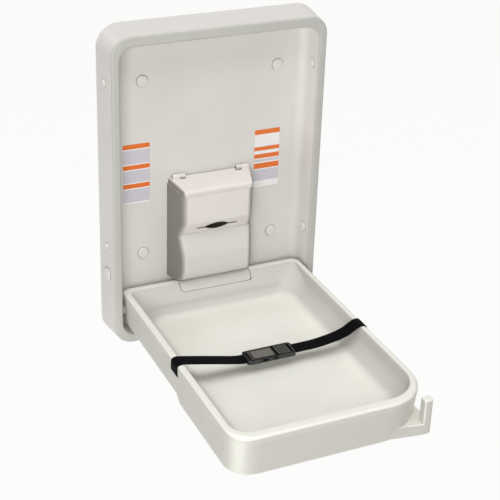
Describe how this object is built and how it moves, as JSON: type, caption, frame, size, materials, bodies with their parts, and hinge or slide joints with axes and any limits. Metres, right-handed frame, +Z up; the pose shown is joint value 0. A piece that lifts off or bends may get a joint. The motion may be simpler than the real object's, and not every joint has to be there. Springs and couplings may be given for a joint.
{
  "type": "wall-mounted baby changing station",
  "caption": "Upright wall-mounted changing station: a moulded case with a liner dispenser and a tray that folds down on a hinge, with a safety strap, buckle and bag hook.",
  "frame": {"origin": "on the wall, in the middle of the back plate", "axes": "+Y into the wall, +Z up, +X to the right as seen by a user facing the wall"},
  "size_m": [0.5816, 0.76, 0.838],
  "materials": {
    "moulded_plastic": "fine grained off-white moulding",
    "cap_plastic": "smooth off-white",
    "steel": "plain zinc-plated steel",
    "black_steel": "smooth black paint",
    "webbing": "woven black webbing",
    "dark_plastic": "smooth dark grey",
    "paper_liners": "folded white paper",
    "label_sheet": "plain sheet with colour bands, no words"
  },
  "bodies": {
    "wall_unit": {"back_plate": "steel", "bolt_cap_left_high": "cap_plastic", "bolt_cap_left_low": "cap_plastic", "bolt_cap_right_high": "cap_plastic", "bolt_cap_right_low": "cap_plastic", "bolt_sleeve_left_high": "steel", "bolt_sleeve_left_low": "steel", "bolt_sleeve_right_high": "steel", "bolt_sleeve_right_low": "steel", "crank_bracket": "steel", "crank_pin": "steel", "dispenser_body": "moulded_plastic", "hinge_pin_left": "steel", "hinge_pin_right": "steel", "hinge_plate_left": "steel", "hinge_plate_right": "steel", "hinge_spacer_left": "cap_plastic", "hinge_spacer_right": "cap_plastic", "inner_cap_left_high": "cap_plastic", "inner_cap_left_low": "cap_plastic", "inner_cap_right_high": "cap_plastic", "inner_cap_right_low": "cap_plastic", "label_plate_left": "label_sheet", "label_plate_right": "label_sheet", "lid_pin_left": "steel", "lid_pin_right": "steel", "liner_pack": "paper_liners", "lower_housing": "moulded_plastic", "side_plug_large_left": "cap_plastic", "side_plug_large_right": "cap_plastic", "side_plug_left_high": "cap_plastic", "side_plug_left_low": "cap_plastic", "side_plug_right_high": "cap_plastic", "side_plug_right_low": "cap_plastic", "stop_pin_left": "steel", "stop_pin_right": "steel", "wall_shell": "moulded_plastic"},
    "tray": {"tray_bed": "moulded_plastic", "tray_shell": "moulded_plastic", "rear_cover": "moulded_plastic", "gas_tube": "black_steel", "tube_clamp": "steel", "strap_left": "webbing", "strap_right": "webbing", "buckle_socket": "dark_plastic", "hinge_bush_left": "dark_plastic", "hinge_bush_right": "dark_plastic", "stop_stud_left": "steel", "stop_stud_right": "steel", "strap_bar_left": "steel", "strap_bar_right": "steel"},
    "lid": {"dispenser_lid": "moulded_plastic"},
    "buckle_plug": {"buckle_plug": "dark_plastic"},
    "latch_front": {"buckle_latch_front": "dark_plastic"},
    "latch_back": {"buckle_latch_back": "dark_plastic"},
    "gas_rod": {"gas_rod": "steel"}
  },
  "joints": [
    {"name": "tray_fold", "type": "hinge", "parent": "wall_unit", "child": "tray", "pos_m": [0, -0.068, -0.317], "axis": [-1, 0, 0], "range_deg": [0, 90]},
    {"name": "lid_open", "type": "hinge", "parent": "wall_unit", "child": "lid", "pos_m": [0, -0.024, 0.011], "axis": [-1, 0, 0], "range_deg": [0, 100]},
    {"name": "buckle_pull", "type": "slide", "parent": "tray", "child": "buckle_plug", "axis": [1, 0, 0], "range_m": [0, 0.032]},
    {"name": "latch_front_press", "type": "hinge", "parent": "buckle_plug", "child": "latch_front", "pos_m": [0.008, -0.42895, -0.306], "axis": [0, 0, -1], "range_deg": [0, 5]},
    {"name": "latch_back_press", "type": "hinge", "parent": "buckle_plug", "child": "latch_back", "pos_m": [0.008, -0.39905, -0.306], "axis": [0, 0, 1], "range_deg": [0, 5]},
    {"name": "gas_rod_slide", "type": "slide", "parent": "tray", "child": "gas_rod", "axis": [0, 1, 0], "range_m": [0, 0.056]}
  ],
  "couplings": [
    {"joint": "gas_rod_slide", "follows": "tray_fold", "m_per_rad": 0.035651}
  ]
}
